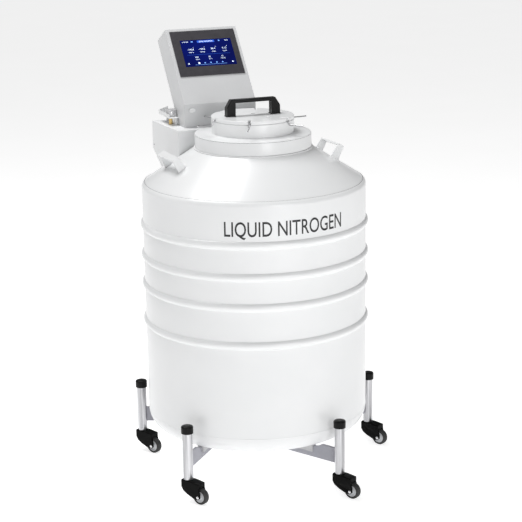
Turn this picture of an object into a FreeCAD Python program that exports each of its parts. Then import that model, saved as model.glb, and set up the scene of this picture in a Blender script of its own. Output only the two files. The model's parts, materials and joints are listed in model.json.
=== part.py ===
"""Liquid nitrogen dewar on a five-castor base, with six canisters and a display housing.

Units are millimetres. +Z is up, the front of the dewar faces -Y, and the origin is the
point on the floor under the vessel's axis.
"""
import FreeCAD, Part
import math
import os

V = FreeCAD.Vector
UP = V(0, 0, 1)
ORIGIN = V(0, 0, 0)

# ---------------------------------------------------------------- driving dimensions
# outer vessel
body_r = 340.5
shell_t = 3.0
lower_seam_z = 196.0
shoulder_seam_z = 915.0
shoulder_knuckle_r = 18.0
dome_angle = 32.5
rib_height = 25.0
rib_proud = 7.5
rib_tops_below_seam = (118.3, 212.5, 302.8, 417.7)
head_knuckle_r = 55.0
head_knuckle_sweep = 84.0
head_crown_depth = 11.5

# neck, collar and index ring
neck_r = 108.0
neck_t = 3.5
collar_r = 176.5
collar_stand = 43.65
collar_crown = 2.0
collar_crown_r = 145.0
collar_edge_r = 2.5
ring_r = 125.0
ring_height = 39.0

# inner vessel
inner_r = 290.0
inner_t = 3.0
inner_floor_z = 150.0
inner_knuckle_r = 40.0
inner_top_z = 880.0
inner_head_rise = 55.0
blanket_gap = 6.0

# canisters
canister_count = 6
canister_phase = 5.4
canister_pitch_r = 157.0
canister_r = 51.0
canister_t = 1.2
canister_h = 300.0
canister_floor_z = 168.0
rod_r = 2.0
rod_pitch_r = 103.5
rod_reach_r = 180.0
rod_hook_drop = 13.0
rod_notch_w = 7.0
rod_bend_r = 5.0
probe_r = 1.8

# lid
lid_t = 11.0
lid_edge = 2.0
plug_r = 98.0
plug_depth = 150.0
handle_span = 169.0
handle_leg_w = 27.0
handle_depth = 24.0
handle_rise = 50.0
handle_bar_t = 10.0

# carry handles on the shoulder
carry_x = 243.0
carry_y = 10.0
carry_turn = 4.4
carry_half = 57.0
carry_rise = 44.0
carry_bar_w = 20.0
carry_foot_w = 32.0
carry_t = 5.0

# rear box
box_turn = 4.4
box_half_w = 192.0
box_front_y = 125.4
box_back_y = 347.7
box_wall = 2.0
box_drop = 145.0
box_back_drop = 87.0
box_chamfer_y = 266.0
cover_inset = 22.0
pipe_r = 6.0
feed_r = 5.0
pipe_y = 253.0
pipe_drop = 58.0
riser_x = -165.5
fitting_x = -120.0
fitting_r = 9.5
fitting_l = 24.0
fitting_flange_r = 16.0
fitting_flange_t = 6.0
inlet_y = 240.0
inlet_drop = 45.0

# valve tray beside the display
tray_x = -200.0
tray_w = 31.5
tray_front_y = 205.0
tray_back_y = 318.0
tray_lift = 23.0
tray_edge_h = 12.0
tray_rear_rise = 10.0

# display housing
housing_left_x = -167.5
housing_w = 232.5
housing_front_y = 149.0
housing_neck_h = 72.0
housing_neck_d = 67.0
housing_tilt = 40.0
housing_face_l = 276.0
housing_d = 95.0
housing_top_rise = 22.0
housing_wall = 2.0
bezel_w = 212.0
bezel_h = 165.5
bezel_low = 99.0
bezel_proud = 3.0
screen_w = 168.0
screen_h = 98.0
screen_shift = 4.0
button_rx = 10.0
button_rz = 6.5
button_travel = 3.0

# base
leg_count = 5
leg_phase = 1.1
leg_clear = 44.5
post_r = 15.0
post_bottom_z = 70.5
post_top_z = 233.0
cap_r = 18.3
cap_top_z = 239.0
cap_h = 24.0
arm_turn = 11.7
arm_t = 8.0
arm_low_z = 100.0
arm_top_z = 147.0
arm_head_gap = 6.0
hub_r = 105.0
hub_t = 8.0

# castors
trail_angle = -57.0
trail = 46.0
wheel_r = 25.0
wheel_w = 20.0
hub_wheel_r = 17.0
axle_r = 4.0
stem_r = 5.5
stem_l = 30.0
fork_w = 32.0
fork_back = 16.0
fork_front = 49.0

# named clearances
run_gap = 0.05
face_gap = 0.5
fit_gap = 0.3


# ---------------------------------------------------------------- small helpers
def turn(shape, angle, centre=ORIGIN, axis=UP):
    """A copy of the shape, turned about an axis through centre."""
    copy = shape.copy()
    copy.rotate(centre, axis, angle)
    return copy


def moved(shape, x, y, z=0.0):
    """A copy of the shape, moved."""
    copy = shape.copy()
    copy.translate(V(x, y, z))
    return copy


def polar(radius, angle, z=0.0):
    """A point at a radius and an angle in degrees from +X."""
    a = math.radians(angle)
    return V(radius * math.cos(a), radius * math.sin(a), z)


def tube(r_out, r_in, z0, z1):
    """A ring or tube about the vessel axis."""
    outer = Part.makeCylinder(r_out, z1 - z0, V(0, 0, z0))
    if r_in <= 0:
        return outer
    return outer.cut(Part.makeCylinder(r_in, z1 - z0 + 2, V(0, 0, z0 - 1)))


def spun(points):
    """A solid of revolution from straight (r, z) points."""
    loop = [V(r, 0, z) for r, z in points]
    wire = Part.makePolygon(loop + [loop[0]])
    return Part.Face(wire).revolve(ORIGIN, UP, 360)


def spun_edges(edges):
    """A solid of revolution from a closed run of edges in the XZ plane."""
    wire = Part.Wire(Part.__sortEdges__(edges))
    return Part.Face(wire).revolve(ORIGIN, UP, 360)


def plate(points, x0, x1):
    """A slab whose outline is (y, z) points, between two values of x."""
    loop = [V(x0, y, z) for y, z in points]
    wire = Part.makePolygon(loop + [loop[0]])
    return Part.Face(wire).extrude(V(x1 - x0, 0, 0))


def block(x0, x1, y0, y1, z0, z1):
    """A box between two corners."""
    return Part.makeBox(x1 - x0, y1 - y0, z1 - z0, V(x0, y0, z0))


def rounded(shape, radius, test):
    """The shape with its edges rounded where test says so."""
    edges = [e for e in shape.Edges if test(e)]
    return shape.makeFillet(radius, edges)


def line(a, b):
    """A straight edge between two points."""
    return Part.LineSegment(a, b).toShape()


def arc(a, mid, b):
    """A circular edge through three points."""
    return Part.Arc(a, mid, b).toShape()


def on_arc(cr, cz, r, angle):
    """A point in the XZ plane on a circle about (cr, cz)."""
    a = math.radians(angle)
    return V(cr + r * math.cos(a), 0, cz + r * math.sin(a))


# ---------------------------------------------------------------- derived places
dome_slope = math.tan(math.radians(dome_angle))
knuckle_z = shoulder_seam_z - shoulder_knuckle_r
knuckle_end = on_arc(body_r - shoulder_knuckle_r, knuckle_z, shoulder_knuckle_r, 90 - dome_angle)
dome_edge_r = knuckle_end.x - (shoulder_seam_z - knuckle_end.z) / dome_slope
dome_inner_r = neck_r + neck_t + 6.5
collar_top_z = shoulder_seam_z + (dome_edge_r - collar_r) * dome_slope + collar_stand
box_low_z = collar_top_z - box_drop
box_back_low_z = collar_top_z - box_back_drop
pipe_z = collar_top_z - pipe_drop
inlet_z = collar_top_z - inlet_drop
tray_low_z = collar_top_z + tray_lift
leg_circle_r = body_r + leg_clear
ring_z = collar_top_z + collar_crown
ring_top_z = ring_z + ring_height
lid_z = ring_top_z + face_gap
lid_top_z = lid_z + lid_t
rod_top_z = ring_top_z + face_gap + rod_r + 2.0
rod_hook_z = rod_top_z - rod_hook_drop


def dome_z(radius):
    """Height of the shoulder dome's outer face."""
    return shoulder_seam_z + (dome_edge_r - radius) * dome_slope


def head_profile(offset):
    """Edges of the lower head's outline from the axis to the seam, offset inwards."""
    cr = body_r - head_knuckle_r
    r = head_knuckle_r - offset
    start = on_arc(cr, lower_seam_z, r, 0)
    middle = on_arc(cr, lower_seam_z, r, -head_knuckle_sweep / 2)
    end = on_arc(cr, lower_seam_z, r, -head_knuckle_sweep)
    dish_r = (end.x ** 2 + head_crown_depth ** 2) / (2 * head_crown_depth)
    dish_angle = math.degrees(math.asin(end.x / dish_r))
    dish_z = end.z - head_crown_depth + dish_r
    bottom = V(0, 0, end.z - head_crown_depth)
    half = on_arc(0, dish_z, dish_r, dish_angle / 2 - 90)
    return start, bottom, [arc(start, middle, end), arc(end, half, bottom)]


def dome_envelope(gap):
    """Everything inside the outer vessel's top, grown by a gap."""
    lift = gap / math.cos(math.radians(dome_angle))
    rim = body_r + gap
    top_r = dome_inner_r
    return spun([
        (0, lower_seam_z),
        (rim, lower_seam_z),
        (rim, dome_z(rim) + lift),
        (top_r, dome_z(top_r) + lift),
        (0, dome_z(top_r) + lift),
    ])


# ---------------------------------------------------------------- outer vessel
def shell_side(offset):
    """Edges of the shell's wall from the lower seam to the shoulder seam."""
    edges = []
    r = body_r - offset
    at = V(r, 0, lower_seam_z)
    start = at
    for drop in reversed(rib_tops_below_seam):
        top = shoulder_seam_z - drop
        low = V(r, 0, top - rib_height)
        high = V(r, 0, top)
        edges.append(line(at, low))
        edges.append(arc(low, V(r + rib_proud, 0, top - rib_height / 2), high))
        at = high
    shoulder = V(r, 0, knuckle_z)
    edges.append(line(at, shoulder))
    kr = shoulder_knuckle_r - offset
    centre_r = body_r - shoulder_knuckle_r
    half = on_arc(centre_r, knuckle_z, kr, (90 - dome_angle) / 2)
    end = on_arc(centre_r, knuckle_z, kr, 90 - dome_angle)
    edges.append(arc(shoulder, half, end))
    return start, end, edges


def make_outer_shell():
    """The rolled side wall, with its four outward ribs and rounded shoulder."""
    out_start, out_end, outer = shell_side(0.0)
    in_start, in_end, inner = shell_side(shell_t)
    edges = outer + inner + [line(out_start, in_start), line(out_end, in_end)]
    return spun_edges(edges)


def make_shoulder_dome():
    """The conical top head, from the shoulder seam up to the neck."""
    t = shell_t / math.cos(math.radians(dome_angle))
    top_r = dome_inner_r
    r0 = knuckle_end.x
    n = V(math.sin(math.radians(dome_angle)), 0, math.cos(math.radians(dome_angle)))
    inner = knuckle_end - n * shell_t
    return spun([
        (r0, knuckle_end.z),
        (inner.x, inner.z),
        (top_r, dome_z(top_r) - t),
        (top_r, dome_z(top_r)),
    ])


def make_lower_head():
    """The dished bottom of the outer vessel."""
    out_start, out_bottom, outer = head_profile(0.0)
    in_start, in_bottom, inner = head_profile(shell_t)
    edges = outer + inner + [line(out_start, in_start), line(out_bottom, in_bottom)]
    return spun_edges(edges)


def lower_envelope(gap):
    """Everything inside the lower head, grown by a gap."""
    start, bottom, outer = head_profile(-gap)
    top = V(0, 0, lower_seam_z)
    return spun_edges(outer + [line(start, top), line(top, bottom)])


def make_vacuum_port():
    """The evacuation port on the shoulder, with its dust cap."""
    r = 262.0
    angle = 62.0
    body = Part.makeCylinder(17, 14).fuse(Part.makeCylinder(13, 26))
    cap = Part.makeCylinder(15, 6, V(0, 0, 26))
    cap = rounded(cap, 2.0, lambda e: e.BoundBox.ZMin > 31.9)
    port = body.fuse(cap).removeSplitter()
    port.rotate(ORIGIN, V(0, 1, 0), dome_angle)
    foot = V(r, 0, dome_z(r) - 2.0)
    port.translate(foot)
    port = turn(port, angle)
    return port.cut(dome_envelope(0.0))


# ---------------------------------------------------------------- inner vessel and neck
def inner_profile(offset):
    """Edges of the inner vessel's outline from the axis below to the neck above."""
    r = inner_r - offset
    k = inner_knuckle_r - offset
    cr = inner_r - inner_knuckle_r
    bottom = V(0, 0, inner_floor_z + offset)
    flat_end = V(cr, 0, inner_floor_z + offset)
    low_c = inner_floor_z + inner_knuckle_r
    side_low = V(r, 0, low_c)
    side_high = V(r, 0, inner_top_z)
    mid_low = on_arc(cr, low_c, k, -45)
    slope = math.atan2(inner_head_rise, inner_r - inner_knuckle_r - neck_r)
    top_end = on_arc(cr, inner_top_z, k, 90 - math.degrees(slope))
    mid_high = on_arc(cr, inner_top_z, k, (90 - math.degrees(slope)) / 2)
    neck_edge = neck_r + neck_t
    neck_z = top_end.z + (top_end.x - neck_edge) * math.tan(slope)
    neck = V(neck_edge, 0, neck_z)
    edges = [
        line(bottom, flat_end),
        arc(flat_end, mid_low, side_low),
        line(side_low, side_high),
        arc(side_high, mid_high, top_end),
        line(top_end, neck),
    ]
    return bottom, neck, edges


def make_inner_vessel():
    """The vessel that holds the liquid nitrogen, open at the neck."""
    out_low, out_neck, outer = inner_profile(0.0)
    in_low, in_neck, inner = inner_profile(inner_t)
    edges = outer + inner + [line(out_low, in_low), line(out_neck, in_neck)]
    return spun_edges(edges)


def neck_low_z():
    """Where the neck tube meets the inner vessel's top head."""
    return inner_profile(inner_t)[1].z


def make_neck_tube():
    """The thin low-conductivity tube that hangs the inner vessel from the collar."""
    return tube(neck_r + neck_t, neck_r, neck_low_z(), ring_z)


def make_insulation():
    """The multilayer blanket wrapped round the inner vessel's side."""
    r0 = inner_r + blanket_gap / 2
    r1 = body_r - shell_t - blanket_gap * 2
    z0 = lower_seam_z + blanket_gap
    z1 = inner_top_z
    blanket = tube(r1, r0, z0, z1)
    return rounded(blanket, 8.0, lambda e: e.BoundBox.ZLength < 0.1 and e.BoundBox.XLength > 2 * r0 + 5)


def make_canister_spider():
    """The locating plate on the vessel's floor, with a seat for each canister."""
    z0 = inner_floor_z + inner_t
    spider = tube(canister_pitch_r + canister_r, 60.0, z0, z0 + 3)
    hole = Part.makeCylinder(canister_r - 12, 20, V(canister_pitch_r, 0, z0 - 5))
    for i in range(canister_count):
        spider = spider.cut(turn(hole, canister_phase + 360 / canister_count * i))
    return spider


def make_neck_collar():
    """The thick collar round the neck, lying on the dome."""
    r_in = neck_r + neck_t
    crown_z = collar_top_z + collar_crown
    low_z = dome_z(collar_r)
    return spun([
        (r_in, crown_z),
        (ring_r + 1, crown_z),
        (collar_crown_r, collar_top_z),
        (collar_r - collar_edge_r, collar_top_z),
        (collar_r, collar_top_z - collar_edge_r),
        (collar_r, low_z),
        (dome_inner_r, dome_z(dome_inner_r)),
        (r_in, dome_z(dome_inner_r)),
    ])


def notch_cutter(z0, z1, r0, r1):
    """The six radial slots that the canister rods lie in."""
    cutter = None
    for i in range(canister_count):
        slot = block(r0, r1, -rod_notch_w / 2, rod_notch_w / 2, z0, z1)
        slot = turn(slot, canister_phase + 360 / canister_count * i)
        cutter = slot if cutter is None else cutter.fuse(slot)
    return cutter


def make_index_ring():
    """The notched ring on the collar that the canister rods hang from."""
    ring = tube(ring_r, neck_r, ring_z, ring_top_z)
    ring = rounded(ring, 1.5, lambda e: e.BoundBox.ZMin > ring_top_z - 0.1)
    depth = ring_top_z - rod_top_z + rod_r + 5.0
    cut = notch_cutter(ring_top_z - depth, ring_top_z + 1, neck_r - 5, ring_r + 5)
    return ring.cut(cut)


# ---------------------------------------------------------------- canisters
def rod_path():
    """The hooked path of a canister rod, in the plane of +X."""
    b = rod_bend_r
    x_in = rod_pitch_r
    x_out = ring_r + rod_r + 3.0
    low = V(x_in, 0, canister_floor_z + canister_h - 40)
    c = math.cos(math.radians(45)) * b
    pts = [
        V(x_in, 0, rod_top_z - b),
        V(x_in + b, 0, rod_top_z),
        V(x_out - b, 0, rod_top_z),
        V(x_out, 0, rod_top_z - b),
        V(x_out, 0, rod_hook_z + b),
        V(x_out + b, 0, rod_hook_z),
    ]
    mid1 = V(x_in + b - c, 0, rod_top_z - b + c)
    mid2 = V(x_out - b + c, 0, rod_top_z - b + c)
    mid3 = V(x_out + b - c, 0, rod_hook_z + b - c)
    end = V(rod_reach_r, 0, rod_hook_z)
    edges = [
        line(low, pts[0]),
        arc(pts[0], mid1, pts[1]),
        line(pts[1], pts[2]),
        arc(pts[2], mid2, pts[3]),
        line(pts[3], pts[4]),
        arc(pts[4], mid3, pts[5]),
        line(pts[5], end),
    ]
    return Part.Wire(edges), low


def make_canister():
    """One perforated canister with its hooked lifting rod, in the plane of +X."""
    z0 = canister_floor_z
    z1 = z0 + canister_h
    can = Part.makeCylinder(canister_r, canister_h, V(canister_pitch_r, 0, z0))
    hollow = Part.makeCylinder(canister_r - canister_t, canister_h, V(canister_pitch_r, 0, z0 + canister_t))
    can = can.cut(hollow)
    for i in range(6):
        hole = Part.makeCylinder(5.0, 10, V(canister_pitch_r, 0, z0 - 4))
        can = can.cut(moved(hole, 28 * math.cos(i * math.pi / 3), 28 * math.sin(i * math.pi / 3)))
    path, low = rod_path()
    section = Part.Wire(Part.makeCircle(rod_r, low, UP))
    rod = path.makePipeShell([section], True, False)
    lug_x = canister_pitch_r - canister_r + canister_t / 2
    lug = block(rod_pitch_r - rod_r - 1, lug_x, -6, 6, z1 - 38, z1 - 8)
    lug = lug.cut(Part.makeCylinder(canister_r - canister_t / 2, 60, V(canister_pitch_r, 0, z1 - 50)))
    return can.fuse(lug).fuse(rod).removeSplitter()


# ---------------------------------------------------------------- lid
def make_lid_cover():
    """The round cover over the index ring, notched for the canister rods."""
    cover = tube(ring_r, 0, lid_z, lid_top_z)
    cover = cover.makeChamfer(lid_edge, [e for e in cover.Edges if e.BoundBox.ZMin > lid_top_z - 0.1])
    return cover.cut(notch_cutter(lid_z - 1, lid_top_z + 1, rod_pitch_r - rod_r - 3, ring_r + 5))


def make_lid_plug():
    """The foam plug that fills the neck under the cover."""
    plug = tube(plug_r, 0, lid_z - plug_depth, lid_z)
    return rounded(plug, 4.0, lambda e: e.BoundBox.ZMax < lid_z - plug_depth + 0.1)


def make_lid_handle():
    """The bridge handle on the cover."""
    half = handle_span / 2
    top = lid_top_z + handle_rise
    under = top - handle_bar_t
    inner = half - handle_leg_w
    corner = 14.0
    outline = [
        V(-half, 0, lid_top_z),
        V(-half, 0, top - corner * 1.6),
        V(-half + corner, 0, top),
        V(half - corner, 0, top),
        V(half, 0, top - corner * 1.6),
        V(half, 0, lid_top_z),
        V(inner, 0, lid_top_z),
        V(inner, 0, under),
        V(-inner, 0, under),
        V(-inner, 0, lid_top_z),
    ]
    face = Part.Face(Part.makePolygon(outline + [outline[0]]))
    handle = moved(face.extrude(V(0, handle_depth, 0)), 0, -handle_depth / 2)
    return handle.makeFillet(2.5, [e for e in handle.Edges if e.BoundBox.ZMin > lid_top_z + 1
                                   and abs(e.BoundBox.YMin) > 11 and e.BoundBox.YLength < 0.1])


def make_lid_screws():
    """Four screws from under the cover up into the handle's feet."""
    screws = []
    foot_x = handle_span / 2 - handle_leg_w / 2
    for side in (-1, 1):
        for y in (-6, 6):
            at = V(side * foot_x, y, lid_z)
            head = Part.makeCylinder(4.0, 3.0, at)
            shank = Part.makeCylinder(2.0, lid_t + 10, at)
            screws.append(head.fuse(shank).removeSplitter())
    return Part.makeCompound(screws)


def make_lid_lock():
    """The small lock on the lid's front, with its round key barrel."""
    base = block(-14, 8, -ring_r + 12, -ring_r + 20, lid_top_z, lid_top_z + 1.5)
    barrel = Part.makeCylinder(4.0, 7.0, V(16, -ring_r + 34, lid_top_z))
    strap = block(-3, 19, -ring_r + 18, -ring_r + 34, lid_top_z, lid_top_z + 1.5)
    return base.fuse(strap).fuse(barrel).removeSplitter()


# ---------------------------------------------------------------- carry handles
def make_carry_handle(side):
    """A bent strap handle that stands square to the dome, side -1 left, 1 right."""
    foot_r = math.hypot(carry_x, carry_half)
    foot = V(carry_x, 0, dome_z(foot_r))
    a = math.radians(dome_angle)
    along = V(math.cos(a), 0, -math.sin(a))
    out = V(math.sin(a), 0, math.cos(a))

    def leg(y):
        corners = []
        for u, n in ((-carry_foot_w / 2, -8), (carry_foot_w / 2, -8),
                     (carry_bar_w / 2, carry_rise), (-carry_bar_w / 2, carry_rise)):
            corners.append(foot + along * u + out * n + V(0, y - carry_t / 2, 0))
        face = Part.Face(Part.makePolygon(corners + [corners[0]]))
        return face.extrude(V(0, carry_t, 0))

    corners = []
    for u, n in ((-1, 0), (1, 0), (1, 1), (-1, 1)):
        corners.append(foot + along * (u * carry_bar_w / 2) + out * (carry_rise - carry_t * (1 - n))
                       + V(0, -carry_half - carry_t / 2, 0))
    bar = Part.Face(Part.makePolygon(corners + [corners[0]])).extrude(V(0, 2 * carry_half + carry_t, 0))
    handle = bar.fuse(leg(-carry_half)).fuse(leg(carry_half)).removeSplitter()
    if side < 0:
        handle = handle.mirror(ORIGIN, V(1, 0, 0))
    handle = moved(turn(handle, carry_turn, V(side * carry_x, 0, 0)), 0, carry_y)
    handle = handle.cut(dome_envelope(0.0))
    solids = sorted(handle.Solids, key=lambda s: s.Volume)
    return solids[-1]


# ---------------------------------------------------------------- rear box
def box_outline(inset):
    """The rear box's (y, z) side outline, shrunk by an inset."""
    return [
        (box_front_y + inset, box_low_z + inset),
        (box_front_y + inset, collar_top_z - inset),
        (box_back_y - inset, collar_top_z - inset),
        (box_back_y - inset, box_back_low_z + inset * 0.4),
        (box_chamfer_y - inset * 0.4, box_low_z + inset),
    ]


def vessel_keepout():
    """The dome and the collar, grown by the fit gap."""
    collar = Part.makeCylinder(collar_r + fit_gap, 200, V(0, 0, collar_top_z - 100))
    return dome_envelope(fit_gap).fuse(collar)


def make_rear_box():
    """The sheet-metal valve box behind the neck, open to the dome and at the rear."""
    outer = plate(box_outline(0.0), -box_half_w, box_half_w)
    hollow = plate(box_outline(box_wall), -box_half_w + box_wall, box_half_w - box_wall)
    window = block(-box_half_w + cover_inset, box_half_w - cover_inset, box_back_y - 10, box_back_y + 10,
                   box_back_low_z + 8, collar_top_z - 14)
    box = outer.cut(hollow).cut(window)
    floor = block(-box_half_w - 1, box_half_w + 1, box_front_y - 1, box_chamfer_y - 3,
                  box_low_z - 1, box_low_z + box_wall + 0.5)
    box = box.cut(floor).cut(vessel_keepout())
    solids = sorted(box.Solids, key=lambda s: s.Volume)
    return solids[-1]


def make_rear_box_cover():
    """The removable plate on the back of the valve box."""
    cover = block(-box_half_w + 8, box_half_w - 8, box_back_y, box_back_y + box_wall,
                  box_back_low_z + 1, collar_top_z - 4)
    return rounded(cover, 5.0, lambda e: e.BoundBox.YLength > box_wall - 0.1 and e.BoundBox.XLength < 0.1)


def make_cover_screws():
    """The six screws that hold the box's rear cover."""
    screws = []
    for x in (-1, 0, 1):
        for z in (box_back_low_z + 5, collar_top_z - 9):
            at = V(x * (box_half_w - 15), box_back_y + box_wall, z)
            head = Part.makeCylinder(3.5, 2.5, at, V(0, 1, 0))
            screws.append(head)
    return Part.makeCompound(screws)


def make_solenoid_valves():
    """The fill and bypass valves in the rear box, on one pipe line."""
    solids = []
    for x in (-70.0, 20.0):
        valve = block(x - 18, x + 18, pipe_y - 18, pipe_y + 18, pipe_z - 12, pipe_z + 12)
        coil = Part.makeCylinder(15, 34, V(x, pipe_y, pipe_z + 12))
        solids.append(valve.fuse(coil).removeSplitter())
    return Part.makeCompound(solids)


def make_fill_pipe():
    """The pipes from the fill fitting to the valves and up to the relief valve."""
    run_out = Part.makeCylinder(pipe_r, -88 - riser_x, V(riser_x, pipe_y, pipe_z), V(1, 0, 0))
    between = Part.makeCylinder(pipe_r, 54, V(-52, pipe_y, pipe_z), V(1, 0, 0))
    riser = Part.makeCylinder(pipe_r, tray_low_z + box_wall - pipe_z, V(riser_x, pipe_y, pipe_z))
    elbow = Part.makeSphere(pipe_r, V(riser_x, pipe_y, pipe_z))
    feed_l = box_back_y + box_wall - pipe_y
    feed = Part.makeCylinder(feed_r, feed_l, V(fitting_x, pipe_y, pipe_z), V(0, 1, 0))
    first = run_out.fuse(elbow).fuse(riser).fuse(feed).removeSplitter()
    return Part.makeCompound([first, between])


def riser_hole():
    """The hole that the pipe's riser comes up through."""
    return Part.makeCylinder(pipe_r + fit_gap, 60, V(riser_x, pipe_y, collar_top_z - 10))


def feed_hole():
    """The hole in the rear cover that the feed pipe reaches the fitting through."""
    return Part.makeCylinder(feed_r + fit_gap, 20, V(fitting_x, box_back_y - 10, pipe_z), V(0, 1, 0))


def make_fill_fitting():
    """The flanged hose fitting on the rear cover that liquid nitrogen is fed in through."""
    y = box_back_y + box_wall
    length = fitting_flange_t + fitting_l
    flange = Part.makeCylinder(fitting_flange_r, fitting_flange_t, V(fitting_x, y, pipe_z), V(0, 1, 0))
    spout = Part.makeCylinder(fitting_r, length, V(fitting_x, y, pipe_z), V(0, 1, 0))
    bore = Part.makeCylinder(fitting_r - 3.5, length, V(fitting_x, y + 2, pipe_z), V(0, 1, 0))
    return flange.fuse(spout).cut(bore).removeSplitter()


def make_valve_tray():
    """The folded tray that carries the relief valve, on two feet on the box."""
    x0, x1 = tray_x, tray_x + tray_w
    y0, y1 = tray_front_y, tray_back_y
    z0 = tray_low_z
    top = z0 + tray_edge_h
    floor = block(x0, x1, y0, y1, z0, z0 + box_wall)
    edge = block(x0, x0 + box_wall, y0, y1, z0, top)
    outline = [V(x0, y1, z0), V(x1, y1, z0), V(x1, y1, top + tray_rear_rise), V(x0, y1, top), V(x0, y1, z0)]
    rear = Part.Face(Part.makePolygon(outline)).extrude(V(0, -box_wall, 0))
    tray = floor.fuse(edge).fuse(rear)
    for y in (y0 + 10, y1 - 22):
        tray = tray.fuse(block(x1 - 9, x1 - 1, y, y + 12, collar_top_z, z0))
    return tray.removeSplitter().cut(turn(riser_hole(), box_turn))


def make_relief_valve():
    """The relief valve's block on the tray, with its vent cap."""
    at = turn(Part.Vertex(riser_x, pipe_y, 0), box_turn).Point
    x0, x1 = tray_x + box_wall + 2, tray_x + tray_w - 0.5
    z0 = tray_low_z + box_wall
    body = block(x0, x1, at.y - 14, at.y + 14, z0, z0 + 22)
    mid_x = (x0 + x1) / 2
    cap = Part.makeCylinder(8.5, 12, V(mid_x, at.y + 14, z0 + 11), V(0, 1, 0))
    stem = Part.makeCylinder(5.0, 24, V(mid_x, at.y + 14, z0 + 11), V(0, 1, 0))
    return body.fuse(cap).fuse(stem).removeSplitter()


def make_level_probe():
    """The level and temperature probe that hangs down the neck from the rear box."""
    z0 = inner_floor_z + 24
    z1 = collar_top_z - 12
    drop = Part.makeCylinder(probe_r, z1 - z0, V(rod_pitch_r, 0, z0))
    elbow = Part.makeSphere(probe_r, V(rod_pitch_r, 0, z1))
    run_out = Part.makeCylinder(probe_r, collar_r + 20 - rod_pitch_r, V(rod_pitch_r, 0, z1), V(1, 0, 0))
    return turn(drop.fuse(elbow).fuse(run_out).removeSplitter(), canister_phase + 90)


def make_mains_inlet():
    """The appliance inlet on the right side of the rear box."""
    y, z = inlet_y, inlet_z
    x = box_half_w
    flange = block(x, x + 3, y - 25, y + 25, z - 14, z + 14)
    shell = block(x - 22, x + 3, y - 14, y + 14, z - 10, z + 10)
    recess = block(x - 16, x + 4, y - 11, y + 11, z - 7.5, z + 7.5)
    return flange.fuse(shell).cut(recess).removeSplitter()


def inlet_cutter():
    """The opening in the box's side that the inlet's shell passes through."""
    y, z = inlet_y, inlet_z
    return block(box_half_w - 10, box_half_w + 5, y - 14.2, y + 14.2, z - 10.2, z + 10.2)


# ---------------------------------------------------------------- display housing
tilt_sin = math.sin(math.radians(housing_tilt))
tilt_cos = math.cos(math.radians(housing_tilt))
face_foot_z = collar_top_z + housing_neck_h
housing_right_x = housing_left_x + housing_w
face_mid_x = housing_left_x + housing_w / 2


def housing_outline(inset):
    """The housing's (y, z) side outline, shrunk by an inset."""
    slant = math.atan(housing_top_rise / housing_d)
    front_up = -inset * (1 - math.sin(slant)) / math.cos(slant)
    back_up = housing_top_rise - inset * (1 + math.sin(slant)) / math.cos(slant)

    def corner(up, depth):
        y = housing_front_y + (housing_face_l + up) * tilt_sin + depth * tilt_cos
        z = face_foot_z + (housing_face_l + up) * tilt_cos - depth * tilt_sin
        return y, z

    back_y, back_z = corner(0.0, housing_d)
    front_y = housing_front_y + inset
    neck_y = housing_front_y + housing_neck_d - inset
    neck_z = back_z - (back_y - neck_y - inset) / tilt_sin * tilt_cos + inset * 1.2
    half_turn = math.tan(math.radians(housing_tilt / 2))
    return [
        (front_y, collar_top_z + inset),
        (front_y, face_foot_z - inset * half_turn),
        corner(front_up, inset),
        corner(back_up, housing_d - inset),
        (neck_y, neck_z),
        (neck_y, collar_top_z + inset),
    ]


def on_face(shape, low, depth):
    """Lay a flat shape made in XY on the tilted face, low mm up it and depth mm out."""
    placed = shape.copy()
    placed.rotate(ORIGIN, V(1, 0, 0), 90 - housing_tilt)
    y = housing_front_y + low * tilt_sin - depth * tilt_cos
    z = face_foot_z + low * tilt_cos + depth * tilt_sin
    placed.translate(V(face_mid_x, y, z))
    return placed


def face_block(w, h, low, d0, d1):
    """A block on the tilted face, w wide and h tall, from depth d0 to d1 out of it."""
    flat = Part.makeBox(w, h, d1 - d0, V(-w / 2, 0, 0))
    return on_face(flat, low, d0)


def make_display_housing():
    """The tilted sheet-metal housing of the display, open at the back."""
    outer = plate(housing_outline(0.0), housing_left_x, housing_right_x)
    inner_left_x = housing_left_x + housing_wall
    inner_right_x = housing_right_x - housing_wall
    hollow = plate(housing_outline(housing_wall), inner_left_x, inner_right_x)
    back_l = housing_face_l + housing_top_rise
    back = face_block(housing_w - 2 * housing_wall - 8, back_l - 18, 12, -housing_d - 5, -housing_d + 6)
    window = face_block(bezel_w - 8, bezel_h - 8, bezel_low + 4, -6, 6)
    bore = oval_rod(fit_gap, housing_front_y - 5, 10)
    return outer.cut(hollow).cut(back).cut(window).cut(bore)


def make_housing_back_cover():
    """The plate that closes the housing's back."""
    return face_block(housing_w - 4, housing_face_l + housing_top_rise - 6, 3, -housing_d - 1.5, -housing_d)


def make_display_bezel():
    """The dark frame round the screen, set in the housing's face."""
    lip = face_block(bezel_w, bezel_h, bezel_low, 0, bezel_proud)
    body = face_block(bezel_w - 9, bezel_h - 9, bezel_low + 4.5, -8, 0)
    low = bezel_low + (bezel_h - screen_h) / 2
    window = moved(face_block(screen_w, screen_h, low, -20, 20), screen_shift, 0)
    return lip.fuse(body).cut(window).removeSplitter()


def make_display_glass():
    """The touch screen, flush in the bezel."""
    low = bezel_low + (bezel_h - screen_h) / 2
    glass = face_block(screen_w - fit_gap, screen_h - fit_gap, low + fit_gap / 2, -6, bezel_proud - 0.8)
    return moved(glass, screen_shift, 0)


def make_controller_board():
    """The controller's circuit board behind the screen."""
    board = face_block(176, 120, bezel_low + 20, -22, -20)
    chip = face_block(30, 30, bezel_low + 60, -20, -16)
    relay = moved(face_block(24, 40, bezel_low + 30, -38, -22), 60, 0)
    return board.fuse(chip).fuse(relay).removeSplitter()


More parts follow.
